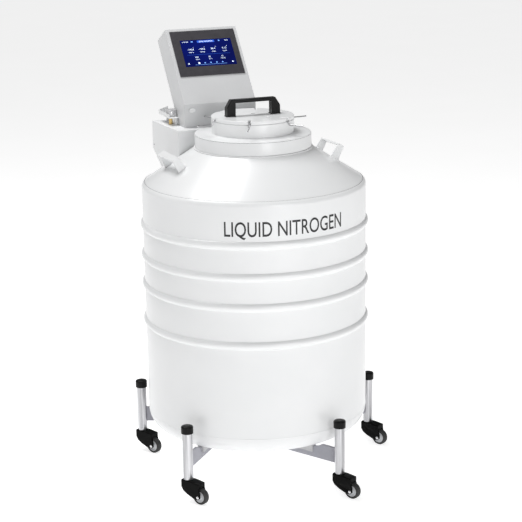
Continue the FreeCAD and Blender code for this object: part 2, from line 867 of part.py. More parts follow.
def make_power_supply():
    """The low-voltage supply in the foot of the housing."""
    x = face_mid_x
    front_y = housing_front_y + 14
    return block(x - 55, x + 55, front_y, front_y + 36, collar_top_z + 4, collar_top_z + 50)


button_x = housing_left_x + 24.5
button_z = collar_top_z + 54.0


def oval_rod(grow, y, length):
    """An oval rod along +Y at the mute button's place, grown by a margin."""
    oval = Part.Ellipse(ORIGIN, button_rx + grow, button_rz + grow).toShape()
    rod = Part.Face(Part.Wire(oval)).extrude(V(0, 0, -length))
    rod.rotate(ORIGIN, V(1, 0, 0), 90)
    rod.translate(V(button_x, y, button_z))
    return rod


def make_mute_button():
    """The oval alarm mute button under the display, with the flange that keeps it in."""
    cap = oval_rod(0.0, housing_front_y - button_travel - 1, 8)
    flange = oval_rod(3.0, housing_front_y + housing_wall + fit_gap, 2)
    return cap.fuse(flange).removeSplitter()


# ---------------------------------------------------------------- base
def leg_angle(i):
    """Direction of a leg, in degrees from +X."""
    return leg_phase + 360 / leg_count * i


arm_offset = leg_circle_r * math.sin(math.radians(arm_turn))
arm_foot = leg_circle_r * math.cos(math.radians(arm_turn))
arm_end = arm_foot + arm_offset * math.tan(math.pi / leg_count)


def arm_slab(i, s0, s1, z0, z1, extra=0.0):
    """A vertical slab along arm i, from s0 to s1 measured inwards from its post."""
    w = arm_t / 2 + extra
    slab = Part.makeBox(s1 - s0, 2 * w, z1 - z0, V(s0, -w, z0))
    slab.rotate(ORIGIN, UP, 180 + arm_turn)
    slab.translate(V(leg_circle_r, 0, 0))
    return turn(slab, leg_angle(i))


def make_base_arms():
    """The five upright plates from the posts to the centre, each butting on the next."""
    head = lower_envelope(arm_head_gap)
    arms = []
    for i in range(leg_count):
        arm = arm_slab(i, post_r - 1, arm_end, arm_low_z, arm_top_z)
        post = Part.makeCylinder(post_r, 400, polar(leg_circle_r, leg_angle(i), 0))
        near = arm_slab((i + 1) % leg_count, 0, arm_end + 50, arm_low_z - 5, arm_top_z + 5)
        far = arm_slab((i - 1) % leg_count, 0, arm_end + 50, arm_low_z - 5, arm_top_z + 5)
        neighbour = near if arm_end_meets(i, near) else far
        arm = arm.cut(post).cut(neighbour).cut(head)
        arms.append(sorted(arm.Solids, key=lambda s: s.Volume)[-1])
    return Part.makeCompound(arms)


def arm_end_meets(i, slab):
    """Whether arm i's inner end lies in a neighbour's slab."""
    tip = arm_slab(i, arm_end - 1, arm_end, arm_low_z, arm_low_z + 5)
    return tip.common(slab).Volume > 1


def make_base_hub():
    """The round plate under the arms' inner ends, with its drain boss."""
    hub = tube(hub_r, 0, arm_low_z - hub_t, arm_low_z)
    hub = rounded(hub, 2.0, lambda e: e.BoundBox.ZMax < arm_low_z - hub_t + 0.1)
    for i in range(leg_count):
        bolt = Part.makeCylinder(4.2, 30, polar(arm_offset, leg_angle(i) + 20, arm_low_z - 15))
        hub = hub.cut(bolt)
    return hub


def make_saddle_pads():
    """The five rubber pads that the vessel rests on, straddling the arms."""
    head = lower_envelope(0.0)
    pads = []
    for i in range(leg_count):
        pad = arm_slab(i, 96, 150, arm_low_z + 18, arm_top_z + 6, 6.0)
        arm = arm_slab(i, 60, 200, arm_low_z, arm_top_z)
        arm = arm.cut(lower_envelope(arm_head_gap))
        pad = pad.cut(arm).cut(head)
        pads.append(sorted(pad.Solids, key=lambda s: s.Volume)[-1])
    return Part.makeCompound(pads)


def make_base_posts():
    """The five upright tubes, each with a plugged foot for the castor's stem."""
    posts = []
    for i in range(leg_count):
        at = polar(leg_circle_r, leg_angle(i), post_bottom_z)
        post = Part.makeCylinder(post_r, post_top_z - post_bottom_z, at)
        foot = stem_l + 10
        hollow = Part.makeCylinder(post_r - 2.5, post_top_z - post_bottom_z, at + V(0, 0, foot))
        socket = Part.makeCylinder(stem_r + run_gap, stem_l + 2, at - V(0, 0, 1))
        posts.append(post.cut(hollow).cut(socket))
    return Part.makeCompound(posts)


def make_post_caps():
    """The five round caps over the posts' tops."""
    caps = []
    for i in range(leg_count):
        at = polar(leg_circle_r, leg_angle(i), cap_top_z - cap_h)
        cap = Part.makeCylinder(cap_r, cap_h, at)
        cap = rounded(cap, 4.0, lambda e: e.BoundBox.ZMin > cap_top_z - 0.1)
        hole = Part.makeCylinder(post_r, post_top_z - at.z, at)
        caps.append(cap.cut(hole))
    return Part.makeCompound(caps)


# ---------------------------------------------------------------- castors
def trail_frame(shape, i):
    """Place a castor piece, made about its swivel axis with its trail along +X."""
    at = polar(leg_circle_r, leg_angle(i), 0)
    return moved(turn(shape, trail_angle), at.x, at.y)


def make_castor_fork():
    """The hooded fork with its stem, made about the swivel axis."""
    top = post_bottom_z - face_gap
    outline = [
        (-fork_back, top),
        (-fork_back, 47),
        (-9, 36),
        (6, 27),
        (trail - 14, 17),
        (trail, 17),
        (trail + 7, 22),
        (trail + 7, 34),
        (fork_front, 50),
        (fork_front, top - 4),
        (18, top),
    ]
    loop = [V(x, -fork_w / 2, z) for x, z in outline]
    hood = Part.Face(Part.makePolygon(loop + [loop[0]])).extrude(V(0, fork_w, 0))
    hood = hood.makeFillet(3.0, [e for e in hood.Edges
                                 if e.BoundBox.ZMin > top - 6 and e.BoundBox.YLength < 0.1
                                 and abs(e.BoundBox.YMin) > 15])
    side = wheel_w / 2 + 0.8
    well = Part.makeCylinder(wheel_r + 2.5, 2 * side, V(trail, -side, wheel_r), V(0, 1, 0))
    mouth = block(trail - wheel_r - 2.5, trail + wheel_r + 40, -side, side, -5, wheel_r)
    front = block(trail, trail + wheel_r + 40, -side, side, wheel_r - 1, wheel_r + 20)
    bore = Part.makeCylinder(axle_r, fork_w + 4, V(trail, -fork_w / 2 - 2, wheel_r), V(0, 1, 0))
    stem = Part.makeCylinder(stem_r, stem_l, V(0, 0, top - 0.01))
    fork = hood.cut(well).cut(mouth).cut(front).cut(bore).fuse(stem).removeSplitter()
    axle = Part.makeCylinder(axle_r, fork_w, V(trail, -fork_w / 2, wheel_r), V(0, 1, 0))
    return Part.makeCompound([fork, axle])


def make_castor_wheel():
    """The wheel's hub, made about the swivel axis."""
    hub = Part.makeCylinder(hub_wheel_r, wheel_w - 1, V(trail, -(wheel_w - 1) / 2, wheel_r), V(0, 1, 0))
    bore = Part.makeCylinder(axle_r + run_gap, wheel_w + 2, V(trail, -wheel_w / 2 - 1, wheel_r), V(0, 1, 0))
    return hub.cut(bore)


def make_castor_tyre():
    """The wheel's tread, made about the swivel axis."""
    tyre = Part.makeCylinder(wheel_r, wheel_w, V(trail, -wheel_w / 2, wheel_r), V(0, 1, 0))
    tyre = tyre.makeFillet(3.5, [e for e in tyre.Edges if e.BoundBox.YLength < 0.1])
    bore = Part.makeCylinder(hub_wheel_r, wheel_w + 2, V(trail, -wheel_w / 2 - 1, wheel_r), V(0, 1, 0))
    return tyre.cut(bore)


# ---------------------------------------------------------------- write every node
def save(name, shape):
    """Write one node's STEP file."""
    shape.exportStep(os.path.join("parts", name + ".step"))


os.makedirs("parts", exist_ok=True)

save("outer_shell", make_outer_shell())
save("shoulder_dome", make_shoulder_dome().cut(make_level_probe()))
save("lower_head", make_lower_head())
save("vacuum_port", make_vacuum_port())
save("inner_vessel", make_inner_vessel())
save("neck_tube", make_neck_tube().cut(make_level_probe()))
save("insulation_blanket", make_insulation())
save("canister_spider", make_canister_spider())
save("neck_collar", make_neck_collar().cut(make_level_probe()))
save("index_ring", make_index_ring())
save("lid_cover", make_lid_cover().cut(make_lid_screws()))
save("lid_plug", make_lid_plug())
save("lid_handle", make_lid_handle().cut(make_lid_screws()))
save("lid_screws", make_lid_screws())
save("lid_lock", make_lid_lock())
save("left_carry_handle", make_carry_handle(-1))
save("right_carry_handle", make_carry_handle(1))
save("rear_box", turn(make_rear_box().cut(inlet_cutter()).cut(riser_hole()), box_turn))
save("rear_box_cover", turn(make_rear_box_cover().cut(feed_hole()), box_turn))
save("cover_screws", turn(make_cover_screws(), box_turn))
save("solenoid_valves", turn(make_solenoid_valves(), box_turn))
save("fill_pipe", turn(make_fill_pipe(), box_turn))
save("fill_fitting", turn(make_fill_fitting(), box_turn))
save("mains_inlet", turn(make_mains_inlet(), box_turn))
save("valve_tray", make_valve_tray())
save("relief_valve", make_relief_valve())
save("level_probe", make_level_probe())
save("display_housing", make_display_housing())
save("housing_back_cover", make_housing_back_cover())
save("display_bezel", make_display_bezel())
save("display_glass", make_display_glass())
save("controller_board", make_controller_board())
save("power_supply", make_power_supply())
save("mute_button", make_mute_button())
save("base_arms", make_base_arms())
save("base_hub", make_base_hub())
save("saddle_pads", make_saddle_pads())
save("base_posts", make_base_posts())
save("post_caps", make_post_caps())

canister = make_canister()
for i in range(canister_count):
    save(f"canister_{i + 1}", turn(canister, canister_phase + 360 / canister_count * i))

fork = make_castor_fork()
wheel = make_castor_wheel()
tyre = make_castor_tyre()
for i in range(leg_count):
    save(f"castor_fork_{i + 1}", trail_frame(fork, i))
    save(f"castor_wheel_{i + 1}", trail_frame(wheel, i))
    save(f"castor_tyre_{i + 1}", trail_frame(tyre, i))
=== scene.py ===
import json
import math

import bmesh
import bpy
from mathutils import Matrix, Vector

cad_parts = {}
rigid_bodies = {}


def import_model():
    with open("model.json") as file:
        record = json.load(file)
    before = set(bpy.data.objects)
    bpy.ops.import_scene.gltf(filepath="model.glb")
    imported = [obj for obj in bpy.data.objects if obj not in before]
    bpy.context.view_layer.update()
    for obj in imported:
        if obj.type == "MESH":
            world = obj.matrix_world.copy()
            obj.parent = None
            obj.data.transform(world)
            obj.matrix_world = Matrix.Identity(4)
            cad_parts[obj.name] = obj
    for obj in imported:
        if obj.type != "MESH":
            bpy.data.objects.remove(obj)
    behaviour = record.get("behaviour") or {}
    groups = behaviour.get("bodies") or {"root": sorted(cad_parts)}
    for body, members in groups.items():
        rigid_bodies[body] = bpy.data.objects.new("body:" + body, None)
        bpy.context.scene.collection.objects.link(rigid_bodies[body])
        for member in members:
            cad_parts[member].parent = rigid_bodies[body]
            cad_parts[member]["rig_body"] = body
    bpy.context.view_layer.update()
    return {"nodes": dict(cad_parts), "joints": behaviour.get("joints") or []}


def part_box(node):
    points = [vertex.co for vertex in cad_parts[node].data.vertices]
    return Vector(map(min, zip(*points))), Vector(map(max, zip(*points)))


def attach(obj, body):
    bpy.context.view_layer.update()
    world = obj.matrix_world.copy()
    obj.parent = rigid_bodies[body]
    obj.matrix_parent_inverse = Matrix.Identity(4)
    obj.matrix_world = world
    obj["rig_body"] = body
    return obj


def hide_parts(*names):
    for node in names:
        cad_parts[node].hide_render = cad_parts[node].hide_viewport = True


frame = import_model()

# Looks for the liquid nitrogen dewar. Metres, +Z up, the front faces -Y.
MM = 0.001
joints = {j["name"]: j for j in frame["joints"]}
UP = Vector((0, 0, 1))
LEGS = range(1, 6)
CANISTERS = range(1, 7)


# ---------------------------------------------------------------- places read from the frame
def extent(node, direction):
    """The least and greatest distance of a CAD node's points along a direction."""
    way = Vector(direction)
    spans = [v.co.dot(way) for v in frame["nodes"][node].data.vertices]
    return min(spans), max(spans)


lower_seam_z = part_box("outer_shell")[0].z
head_low, head_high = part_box("lower_head")
collar_low, collar_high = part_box("neck_collar")
lid_low, lid_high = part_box("lid_cover")
body_r = head_high.x

# the vessel's profile, in the part's own proportions
RIB_TOPS = [118.3 * MM, 212.5 * MM, 302.8 * MM, 417.7 * MM]
RIB_HEIGHT = 25 * MM
RIB_PROUD = 7.5 * MM
SHELL_T = 3 * MM
KNUCKLE_R = 18 * MM
DOME_ANGLE = math.radians(32.5)
HEAD_KNUCKLE_R = 55 * MM
HEAD_SWEEP = 84
SEAM_Z = 915 * MM
PANEL_TILT = math.radians(40)
BOX_TURN = math.radians(4.4)

# the canister rods, round the vessel's axis
ROD_PHASE = 5.4
ROD_TIP_R = 180 * MM
ROD_HOOK_DROP = 15 * MM
LID_R = 125 * MM
NOTCH_R = 98.5 * MM
NOTCH_W = 7 * MM

# the printed lettering
WORDS_ARC = math.radians(62.6)
WORDS_CENTRE = math.radians(-93.5)
WORDS_Z = 831 * MM
WORDS_SIZE = 60 * MM
WORDS_BOLD = 0.006
WORDS_TALL = 1.42
WORDS_LIFT = 0.35 * MM
WORDS_STEP = 6 * MM

# the lit symbols on the display stand in thin layers
LAYER = 0.12 * MM
SYMBOL_T = 0.1 * MM


# ---------------------------------------------------------------- materials
def new_material(name):
    """A node material with its Principled shader, for the caller to fill in."""
    mat = bpy.data.materials.new(name)
    mat.use_nodes = True
    nodes = mat.node_tree.nodes
    return mat, mat.node_tree, nodes["Principled BSDF"]


def coordinates(tree, scale=(1, 1, 1)):
    """Object-space coordinates, scaled."""
    source = tree.nodes.new("ShaderNodeTexCoord")
    mapping = tree.nodes.new("ShaderNodeMapping")
    mapping.inputs["Scale"].default_value = scale
    tree.links.new(source.outputs["Object"], mapping.inputs["Vector"])
    return mapping.outputs["Vector"]


def noise(tree, vector, scale, detail=3.0, rough=0.5):
    """A noise texture's value."""
    tex = tree.nodes.new("ShaderNodeTexNoise")
    tex.inputs["Scale"].default_value = scale
    tex.inputs["Detail"].default_value = detail
    tex.inputs["Roughness"].default_value = rough
    tree.links.new(vector, tex.inputs["Vector"])
    return tex.outputs["Fac"]


def ramp(tree, value, low, high, start=0.3, end=0.7):
    """Two colours, mixed by a value."""
    node = tree.nodes.new("ShaderNodeValToRGB")
    node.color_ramp.elements[0].position = start
    node.color_ramp.elements[1].position = end
    node.color_ramp.elements[0].color = (*low, 1)
    node.color_ramp.elements[1].color = (*high, 1)
    tree.links.new(value, node.inputs["Fac"])
    return node.outputs["Color"]


def spread(tree, value, low, high):
    """A 0 to 1 value, spread between two limits."""
    node = tree.nodes.new("ShaderNodeMapRange")
    node.inputs["To Min"].default_value = low
    node.inputs["To Max"].default_value = high
    tree.links.new(value, node.inputs["Value"])
    return node.outputs["Result"]


def bump(tree, shader, value, strength, distance):
    """A bump from a value, chained after any bump the shader has already."""
    node = tree.nodes.new("ShaderNodeBump")
    node.inputs["Strength"].default_value = strength
    node.inputs["Distance"].default_value = distance
    tree.links.new(value, node.inputs["Height"])
    before = shader.inputs["Normal"].links
    if before:
        tree.links.new(before[0].from_socket, node.inputs["Normal"])
    tree.links.new(node.outputs["Normal"], shader.inputs["Normal"])


def surface(name, low, high, rough, metallic=0.0, scale=6.0, peel=0.0, peel_scale=900.0,
            stretch=(1, 1, 1), coat=0.0, waves=0.0, specular=0.5):
    """The common build: two-tone colour, uneven roughness and a fine bump."""
    mat, tree, shader = new_material(name)
    vector = coordinates(tree, stretch)
    clouds = noise(tree, vector, scale, 4.0, 0.6)
    tree.links.new(ramp(tree, clouds, low, high), shader.inputs["Base Color"])
    grain = noise(tree, vector, scale * 6, 5.0, 0.65)
    roughness = spread(tree, grain, rough * 0.8, min(1.0, rough * 1.25))
    tree.links.new(roughness, shader.inputs["Roughness"])
    shader.inputs["Metallic"].default_value = metallic
    shader.inputs["Coat Weight"].default_value = coat
    shader.inputs["Coat Roughness"].default_value = 0.08
    shader.inputs["Specular IOR Level"].default_value = specular
    if waves:
        bump(tree, shader, noise(tree, vector, scale * 0.8, 2.0), waves, 0.004)
    if peel:
        bump(tree, shader, noise(tree, vector, peel_scale, 2.0), peel, 0.0003)
    return mat


def brushed(name, low, high, rough, stretch, scale=60.0):
    """Metal with fine drawn lines across the stretched axes; with a wide colour span the streaks are
    painted reflection bands as well.
    """
    mat, tree, shader = new_material(name)
    vector = coordinates(tree, stretch)
    lines = noise(tree, vector, scale, 6.0, 0.7)
    tree.links.new(ramp(tree, lines, low, high, 0.25, 0.75), shader.inputs["Base Color"])
    tree.links.new(spread(tree, lines, rough * 0.75, rough * 1.35), shader.inputs["Roughness"])
    shader.inputs["Metallic"].default_value = 1.0
    bump(tree, shader, lines, 0.12, 0.0004)
    return mat


def screen_material():
    """The lit blue background of the display, two blues mixed by noise."""
    mat, tree, shader = new_material("screen_blue")
    vector = coordinates(tree)
    glow = noise(tree, vector, 9.0, 2.0)
    colour = ramp(tree, glow, (0.0, 0.001, 0.03), (0.0, 0.003, 0.07), 0.35, 0.7)
    tree.links.new(colour, shader.inputs["Base Color"])
    tree.links.new(colour, shader.inputs["Emission Color"])
    shader.inputs["Emission Strength"].default_value = 1.2
    shader.inputs["Specular IOR Level"].default_value = 0.2
    shader.inputs["Roughness"].default_value = 0.18
    return mat


def lit(name, low, high, strength):
    """Lit lettering and symbols on the display."""
    mat, tree, shader = new_material(name)
    vector = coordinates(tree)
    colour = ramp(tree, noise(tree, vector, 300.0, 2.0), low, high)
    tree.links.new(colour, shader.inputs["Base Color"])
    tree.links.new(colour, shader.inputs["Emission Color"])
    shader.inputs["Emission Strength"].default_value = strength
    shader.inputs["Roughness"].default_value = 0.4
    return mat


M = {
    "enamel": surface("white_enamel_gloss", (0.83, 0.84, 0.845), (0.87, 0.875, 0.88), 0.3,
                      scale=3.0, peel=0.05, waves=0.03, coat=0.25),
    "sheet": surface("white_powder_coat", (0.79, 0.795, 0.8), (0.83, 0.835, 0.84), 0.42,
                     scale=5.0, peel=0.12, peel_scale=1400.0),
    # The display housing's white paint, greyed: painted shade standing in for the dimmer light on its
    # tilted face.
    "shaded_panel": surface("white_panel_painted_grey", (0.61, 0.615, 0.625), (0.65, 0.655, 0.66), 0.4,
                     scale=5.0, peel=0.12, peel_scale=1400.0),
    "weld": surface("painted_weld", (0.74, 0.745, 0.75), (0.84, 0.845, 0.85), 0.4, scale=60.0,
                    peel=0.5, peel_scale=420.0),
    # Near black: painted shadow in the collar's joint.
    "seam": surface("seam_shadow", (0.10, 0.10, 0.105), (0.2, 0.2, 0.205), 0.7, scale=90.0,
                    peel=0.2),
    # Dark grey: painted shade in the seam groove at the dome's rim.
    "seam_shade": surface("grey_seam_shade", (0.22, 0.22, 0.225), (0.3, 0.3, 0.305), 0.65, scale=90.0,
                      peel=0.3),
    "black": surface("black_gloss_plastic", (0.003, 0.003, 0.003), (0.006, 0.006, 0.006), 0.3,
                     scale=40.0, peel=0.2, peel_scale=1600.0, specular=0.16),
    "bezel": surface("dark_bezel", (0.036, 0.034, 0.04), (0.05, 0.047, 0.054), 0.4, scale=60.0,
                     peel=0.35, peel_scale=2200.0),
    # Black: real print on the vessel, and painted shade where it marks vent openings.
    "print_and_hole_shade": surface("black_print_and_hole_shade", (0.012, 0.012, 0.013), (0.03, 0.03, 0.032), 0.5, scale=120.0,
                   peel=0.1),
    "steel": brushed("drawn_steel", (0.36, 0.36, 0.37), (0.62, 0.62, 0.63), 0.28, (1, 1, 0.06)),
    "turned": brushed("turned_steel", (0.5, 0.5, 0.51), (0.72, 0.72, 0.73), 0.24, (0.2, 1, 1),
                      220.0),
    # Dark to bright vertical streaks on the posts: brushing, and painted reflection bands.
    "post": brushed("brushed_aluminium_painted_sheen", (0.16, 0.16, 0.17), (0.86, 0.86, 0.88), 0.3,
                    (1, 1, 0.02), 95.0),
    "arm": surface("grey_arm_paint", (0.3, 0.3, 0.34), (0.36, 0.36, 0.4), 0.45, scale=12.0,
                   peel=0.15),
    "bare": surface("bare_aluminium", (0.6, 0.61, 0.63), (0.74, 0.75, 0.77), 0.35,
                    metallic=1.0, scale=8.0, peel=0.1),
    "cast": surface("satin_aluminium", (0.52, 0.52, 0.53), (0.64, 0.64, 0.65), 0.5,
                    metallic=0.6, scale=40.0, peel=0.3),
    "foil": surface("crinkled_foil", (0.62, 0.62, 0.64), (0.85, 0.85, 0.87), 0.25,
                    metallic=1.0, scale=30.0, waves=0.6, peel=0.4, peel_scale=160.0),
    "composite": surface("glass_composite", (0.55, 0.5, 0.28), (0.68, 0.62, 0.4), 0.5, scale=70.0,
                         stretch=(1, 1, 8), peel=0.3),
    "foam": surface("plug_foam", (0.74, 0.74, 0.71), (0.86, 0.86, 0.83), 0.9, scale=120.0,
                    peel=0.8, peel_scale=500.0),
    "rubber": surface("black_rubber", (0.012, 0.012, 0.012), (0.03, 0.03, 0.03), 0.62,
                      scale=80.0, peel=0.6, peel_scale=700.0),
    "pad": surface("grey_rubber", (0.46, 0.46, 0.47), (0.54, 0.54, 0.55), 0.7, scale=80.0,
                   peel=0.5, peel_scale=700.0),
    "castor": surface("moulded_black", (0.001, 0.001, 0.001), (0.003, 0.003, 0.003), 0.5,
                      scale=50.0, peel=0.4, peel_scale=1500.0, specular=0.08),
    "hub": surface("moulded_grey", (0.55, 0.56, 0.58), (0.66, 0.67, 0.69), 0.4, scale=50.0,
                   peel=0.25),
    "brass": brushed("turned_brass", (0.6, 0.42, 0.16), (0.78, 0.6, 0.3), 0.28, (1, 0.2, 1),
                     200.0),
    "board": surface("solder_mask", (0.01, 0.13, 0.04), (0.02, 0.2, 0.06), 0.35, scale=90.0,
                     peel=0.2),
    "glass": surface("cover_glass", (0.01, 0.01, 0.015), (0.014, 0.014, 0.02), 0.08,
                     scale=20.0, peel=0.02),
    "screen": screen_material(),
    "text": lit("display_text", (0.62, 0.78, 0.95), (0.85, 0.93, 1.0), 0.9),
    "text_dim": lit("display_text_dim", (0.12, 0.3, 0.75), (0.2, 0.42, 0.85), 0.7),
    "bar": lit("display_bar", (0.01, 0.06, 0.42), (0.02, 0.1, 0.5), 0.6),
}


# ---------------------------------------------------------------- mesh helpers
def finish_mesh(name, bm, mat, body, smooth=35, bevel=0.0, segments=3):
    """Turns a bmesh into a piece that rides on a body, with rounded edges if asked."""
    bmesh.ops.recalc_face_normals(bm, faces=bm.faces)
    mesh = bpy.data.meshes.new(name)
    bm.to_mesh(mesh)
    bm.free()
    mesh.materials.append(M[mat])
    for poly in mesh.polygons:
        poly.use_smooth = True
    mesh.set_sharp_from_angle(angle=math.radians(smooth))
    obj = bpy.data.objects.new(name, mesh)
    bpy.context.scene.collection.objects.link(obj)
    if bevel:
        mod = obj.modifiers.new("edges", "BEVEL")
        mod.width = bevel
        mod.segments = segments
        mod.limit_method = "ANGLE"
        mod.angle_limit = math.radians(30)
        mod.harden_normals = True
    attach(obj, body)
    return obj


def soften(points, closed=True, steps=6):
    """An outline in which each (x, y, radius) corner is an arc of that radius."""
    out = []
    count = len(points)
    for i, (x, y, radius) in enumerate(points):
        here = Vector((x, y))
        if radius <= 0 or (not closed and i in (0, count - 1)):
            out.append((x, y))
            continue
        back = (Vector(points[i - 1][:2]) - here).normalized()
        ahead = (Vector(points[(i + 1) % count][:2]) - here).normalized()
        half = back.angle(ahead) / 2
        centre = here + (back + ahead).normalized() * (radius / math.sin(half))
        start = here + back * (radius / math.tan(half)) - centre
        end = here + ahead * (radius / math.tan(half)) - centre
        first = math.atan2(start.y, start.x)
        sweep = math.atan2(end.y, end.x) - first
        sweep = (sweep + math.pi) % (2 * math.pi) - math.pi
        for k in range(steps + 1):
            a = first + sweep * k / steps
            out.append((centre.x + radius * math.cos(a), centre.y + radius * math.sin(a)))
    return out


def lathe(name, profile, mat, body, steps=192, place=None, closed=True, smooth=35):
    """A piece of revolution about Z from (r, z) points, then moved by a matrix."""
    bm = bmesh.new()
    rings = []
    for r, z in profile:
        if r < 1e-7:
            rings.append([bm.verts.new((0, 0, z))])
            continue
        ring = []
        for k in range(steps):
            a = 2 * math.pi * k / steps
            ring.append(bm.verts.new((r * math.cos(a), r * math.sin(a), z)))
        rings.append(ring)
    pairs = list(zip(rings, rings[1:]))
    if closed:
        pairs.append((rings[-1], rings[0]))
    for low, high in pairs:
        if len(low) == 1 and len(high) == 1:
            continue
        for k in range(steps):
            n = (k + 1) % steps
            if len(low) == 1:
                bm.faces.new((low[0], high[k], high[n]))
            elif len(high) == 1:
                bm.faces.new((low[k], low[n], high[0]))
            else:
                bm.faces.new((low[k], low[n], high[n], high[k]))
    if place is not None:
        bm.transform(place)
    return finish_mesh(name, bm, mat, body, smooth)


def rounded_rect(w, h, r):
    """A rectangle's outline with rounded corners, centred on the origin."""
    return soften([(-w / 2, -h / 2, r), (w / 2, -h / 2, r), (w / 2, h / 2, r), (-w / 2, h / 2, r)])


def slab(outline, low, high):
    """A bmesh with an (x, y) outline, between two heights."""
    bm = bmesh.new()
    face = bm.faces.new([bm.verts.new((x, y, low)) for x, y in outline])
    raised = bmesh.ops.extrude_face_region(bm, geom=[face])["geom"]
    top = [v for v in raised if isinstance(v, bmesh.types.BMVert)]
    bmesh.ops.translate(bm, verts=top, vec=(0, 0, high - low))
    return bm


def prism(name, outline, depth, mat, body, place=None, bevel=0.0, segments=3):
    """A slab with an (x, y) outline and a depth along Z, then moved by a matrix."""
    bm = slab(outline, 0, depth)
    if place is not None:
        bm.transform(place)
    return finish_mesh(name, bm, mat, body, 35, bevel, segments)


def refine(node, mat, bevel, segments=3):
    """A cleaned copy of a CAD node, with rounded edges, that stands for the node."""
    source = frame["nodes"][node].data
    bm = bmesh.new()
    verts = [bm.verts.new(v.co) for v in source.vertices]
    for poly in source.polygons:
        corners = [verts[i] for i in poly.vertices]
        if len(set(corners)) == len(corners) and bm.faces.get(corners) is None:
            bm.faces.new(corners)
    bmesh.ops.remove_doubles(bm, verts=bm.verts, dist=2e-6)
    bmesh.ops.dissolve_limit(bm, angle_limit=math.radians(1.0), verts=bm.verts, edges=bm.edges)
    body = frame["nodes"][node]["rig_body"]
    obj = finish_mesh(node + "_finished", bm, mat, body, 35, bevel, segments)
    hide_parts(node)
    return obj


def dress(node, mat):
    """A better material on a CAD node whose shape is right."""
    obj = frame["nodes"][node]
    if not obj.material_slots:
        obj.data.materials.append(M[mat])
    for slot in obj.material_slots:
        slot.material = M[mat]


def aim(place, direction):
    """A matrix that takes +Z to a direction, at a place."""
    turn = Vector(direction).to_track_quat("Z", "Y").to_matrix().to_4x4()
    return Matrix.Translation(place) @ turn


# ---------------------------------------------------------------- the vessel's skin
def arc_points(centre_r, centre_z, radius, first, last, steps):
    """Points on an arc of the profile, between two angles in degrees."""
    out = []
    for k in range(steps + 1):
        a = math.radians(first + (last - first) * k / steps)
        out.append((centre_r + radius * math.cos(a), centre_z + radius * math.sin(a)))
    return out


def shoulder_arc():
    """The rounded shoulder, from the wall up to the dome's rim."""
    last = 90 - math.degrees(DOME_ANGLE)
    return arc_points(body_r - KNUCKLE_R, SEAM_Z - KNUCKLE_R, KNUCKLE_R, 0, last, 12)


def rib_points(r, low, high):
    """A rolled rib: a round swelling of the wall."""
    out = []
    steps = 14
    for k in range(steps + 1):
        t = k / steps
        swell = math.sin(math.pi * t) ** 0.8
        out.append((r + RIB_PROUD * swell, low + (high - low) * t))
    return out


def make_shell():
    """The side wall with its ribs and rounded shoulder."""
    points = [(body_r, lower_seam_z)]
    for drop in reversed(RIB_TOPS):
        top = SEAM_Z - drop
        points += rib_points(body_r, top - RIB_HEIGHT, top)
    points += shoulder_arc()
    rim_r, rim_z = points[-1]
    inner_r = body_r - SHELL_T
    points += [
        (rim_r - 2 * MM, rim_z - 3 * MM),
        (inner_r, SEAM_Z - KNUCKLE_R),
        (inner_r, lower_seam_z),
    ]
    shell = lathe("shell_skin", points, "enamel", "vessel", 288, smooth=50)
    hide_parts("outer_shell")


def make_dome():
    """The conical shoulder, with a dark ring in the seam at its rim, painted shade of the groove, and a
    weld round the collar.
    """
    rim_r, rim_z = shoulder_arc()[-1]
    hole_r = 118 * MM
    slope = math.tan(DOME_ANGLE)
    top_z = rim_z + (rim_r - hole_r) * slope
    groove = 1.6 * MM
    points = [
        (rim_r - 0.2 * MM, rim_z - groove * 1.6),
        (rim_r - 1.2 * MM, rim_z - 0.2 * MM),
        (rim_r - 3.0 * MM, rim_z + 3.0 * MM * slope),
        (hole_r, top_z),
        (hole_r, top_z - 3.4 * MM),
        (rim_r - 3.0 * MM, rim_z - 3.6 * MM),
    ]
    dome = lathe("shoulder_skin", points, "enamel", "vessel", 288, smooth=50)
    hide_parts("shoulder_dome")
    # a thin dark ring that fills the seam: painted shade
    offsets = ((0.25, -0.5), (0.05, 0.25), (-0.9, 0.2), (-0.9, -1.2))
    seam = [(rim_r + dr * MM, rim_z + dz * MM) for dr, dz in offsets]
    line = lathe("shoulder_seam_shade", seam, "seam_shade", "vessel", 192)
    r = collar_high.x
    z = rim_z + (rim_r - r) * slope
    bead = arc_points(r + 1.2 * MM, z - 0.2 * MM, 2.4 * MM, -60, 140, 8)
    weld = lathe("collar_weld", bead, "weld", "vessel", 288)


def make_head():
    """The dished bottom."""
    centre_r = body_r - HEAD_KNUCKLE_R
    outer = arc_points(centre_r, lower_seam_z, HEAD_KNUCKLE_R, 0, -HEAD_SWEEP, 20)
    edge_r, edge_z = outer[-1]
    bottom = head_low.z
    for k in range(1, 13):
        t = k / 12
        outer.append((edge_r * (1 - t), edge_z + (bottom - edge_z) * (1 - (1 - t) ** 2)))
    points = outer + [
        (0, bottom + SHELL_T),
        (edge_r, edge_z + SHELL_T),
        (body_r - SHELL_T, lower_seam_z),
    ]
    head = lathe("lower_skin", points, "enamel", "vessel", 288, smooth=50)
    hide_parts("lower_head")
    bead = arc_points(body_r - 1.6 * MM, lower_seam_z, 2.2 * MM, -80, 80, 8)
    weld = lathe("lower_weld", bead, "enamel", "vessel", 288)


